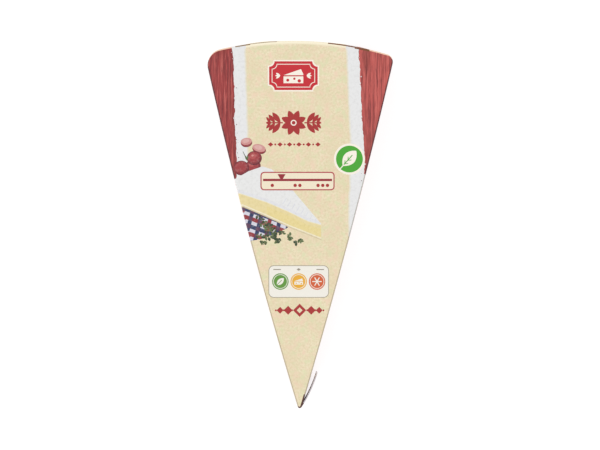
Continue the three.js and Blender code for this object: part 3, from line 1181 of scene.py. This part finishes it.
def rind_material():
    """The bloomy white rind of a soft cheese."""
    material, tree, shader = new_material("bloomy_rind", 0.85, 0.2)
    at = add_node(tree, "ShaderNodeTexCoord").outputs["Object"]
    bloom = noise(tree, at, 140, 5, 0.65)
    fuzz = noise(tree, at, 1400, 3, 0.6)
    colour = stained(tree, shade(247, 244, 234), ((bloom, 0.45, 0.75, 0.6, (226, 210, 176)),))
    height = calc(tree, "ADD", bloom, calc(tree, "MULTIPLY", fuzz, 0.25))
    dress(tree, shader, colour, height, 0.5, 0.0005)
    return material


# ---------------- the pieces

LEFT_FOLD = Fold("left_side_panel")
RIGHT_FOLD = Fold("right_side_panel")
BACK_FOLD = Fold("back_outer_flap")
SIDE_FOLDS = {"left": LEFT_FOLD, "right": RIGHT_FOLD}
BOARD_MATERIAL = board_material()
TOP_ART = top_art()


def board_panels():
    """The top with its print, and the bottom."""
    top = panel_with_creases(TOP_ART, top_fold_ink, True)
    finish_piece(make_sheet("carton_top", *top), "top_panel")
    bottom = upside_down(panel_with_creases(bottom_art(), bottom_fold_ink, False))
    finish_piece(make_sheet("carton_bottom", *bottom), "bottom_panel")


def side_walls():
    """Both sides."""
    for side, fold in SIDE_FOLDS.items():
        upright(f"{side}_side_panel", f"{side}_wall", fold, -fold.length / 2,
                side_belly(fold.length), WALL_HEIGHTS)


def tip_shaded(unshaded):
    """The ink of the tab's back or edge: painted dark as shade in the narrow gap where it has torn
    off the tip, and lightened elsewhere as painted light in the gap beside the right side.
    """
    end = LEFT_FOLD.length / 2 + TAB_SHADOW_REACH
    return lambda point: "tip gap" if LEFT_FOLD.onto_wall([point])[0, 0] < end else unshaded


def tip_tab():
    """The tab round the tip, which has sprung off the right side."""
    total = samples(outer_run("tip_tab"))[-1, 4]

    def trim(s):
        past = np.clip(s - (total - TAB_CORNER), 0, TAB_CORNER)
        return TAB_CORNER - math.sqrt(TAB_CORNER * TAB_CORNER - past * past)

    # the tab's back and edge are lightened as painted light, and painted dark as shade near the tip
    upright("tip_tab", "tip_wrap", LEFT_FOLD, LEFT_FOLD.length / 2, trim=trim,
            inside=tip_shaded("tab back"), rim=tip_shaded("tab edge"))


def bend_trim(total, most, bend, first):
    """A bend is full height for half its length past the side's fold, and is trimmed over the
    next length of it, where it goes in behind the back flap."""
    def trim(s):
        past = s if first else total - s
        return most * min(max(past - bend * 0.5, 0) / bend, 1)
    return trim


def dust_flaps():
    """The corner bends and the flaps behind the back."""
    for side, fold in SIDE_FOLDS.items():
        node = f"{side}_dust_flap"
        first = side == "right"  # whether the flap's line starts at the side's fold
        total = samples(outer_run(node))[-1, 4]
        offset = fold.length / 2 if first else -fold.length / 2 - total
        trim = bend_trim(total, WALL_TOP - node_heights(node)[1], CORNER_BENDS[side], first)
        upright(node, f"{side}_corner", fold, offset, heights=WALL_HEIGHTS, trim=trim)


def back_flaps():
    """The printed back, and the flap that it is glued to."""
    start = -BACK_FOLD.length / 2
    belly = back_belly(BACK_FOLD.length)
    upright("back_outer_flap", "back_flap", BACK_FOLD, start, belly)
    upright("back_inner_flap", "back_glue_flap", BACK_FOLD, start, printed=False)


def seam():
    """The glue seam inside the right side."""
    upright("seam_flap", "side_glue_flap", RIGHT_FOLD, SEAM_START, printed=False)


def contents():
    """The wrapped slice keeps its CAD shape."""
    for node, material in (("inner_wrap", paper_material()), ("cheese_wedge", rind_material())):
        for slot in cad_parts[node].material_slots:
            slot.material = material


# ---------------- camera, light and floor

VIEW_WIDTH = 254.7  # millimetres across the picture, at the carton's top
CAMERA_PLACE = (-0.0001, -0.0002)  # metres; X and Y of the picture's middle
CAMERA_DISTANCE = 2.5  # metres above the carton's top
SENSOR = 36.0
FLOOR_REACH = 60.0  # metres from its middle to each side
FLOOR_DROP = 0.0002  # metres below the carton's underside, so that the two don't touch
FLOOR_GREY = 0.33
FLOOR_GLOW = 0.8  # makes the floor as white as the photograph's


def camera():
    """Straight down from far away."""
    data = bpy.data.cameras.new("camera")
    data.sensor_width = SENSOR
    data.lens = SENSOR * CAMERA_DISTANCE / (VIEW_WIDTH * MM)
    data.clip_end = 20
    eye = placed("camera", data)
    eye.location = (*CAMERA_PLACE, HEIGHT * MM + CAMERA_DISTANCE)
    bpy.context.scene.camera = eye


def area_light(name, place, size, power):
    """A big soft lamp that points at the carton."""
    data = bpy.data.lights.new(name, "AREA")
    data.shape = "DISK"
    data.size = size
    data.energy = power
    lamp = placed(name, data)
    lamp.location = place
    lamp.rotation_euler = (-Vector(place)).to_track_quat("-Z", "Y").to_euler()


def light():
    """A pale room that is brighter low down, with soft lamps above."""
    world = bpy.data.worlds.new("room")
    world.use_nodes = True
    tree = world.node_tree
    up = add_node(tree, "ShaderNodeSeparateXYZ",
                  {0: add_node(tree, "ShaderNodeTexCoord").outputs["Generated"]}).outputs[2]
    background = tree.nodes["Background"]
    background.inputs["Color"].default_value = (1, 1, 1, 1)
    tree.links.new(spread(tree, up, 0.05, 0.7, 1.0, 0.7), background.inputs["Strength"])
    bpy.context.scene.world = world
    bpy.context.scene.view_settings.view_transform = "Standard"
    area_light("key", (-0.9, -0.7, 1.7), size=1.4, power=10)
    area_light("fill", (1.1, 0.9, 1.5), size=1.6, power=5)


def floor():
    """A white table."""
    material, tree, shader = new_material("white_table", 0.7, 0.1)
    shader.inputs["Base Color"].default_value = (FLOOR_GREY, FLOOR_GREY, FLOOR_GREY, 1)
    shader.inputs["Emission Color"].default_value = (1, 1, 1, 1)
    shader.inputs["Emission Strength"].default_value = FLOOR_GLOW
    mesh = bpy.data.meshes.new("floor")
    corners = [(x * FLOOR_REACH, y * FLOOR_REACH, 0) for x, y in ((-1, -1), (1, -1), (1, 1), (-1, 1))]
    mesh.from_pydata(corners, [], [(0, 1, 2, 3)])
    mesh.materials.append(material)
    table = placed("floor", mesh)
    table.location.z = -FLOOR_DROP


camera()
light()
floor()
board_panels()
side_walls()
tip_tab()
dust_flaps()
back_flaps()
seam()
contents()
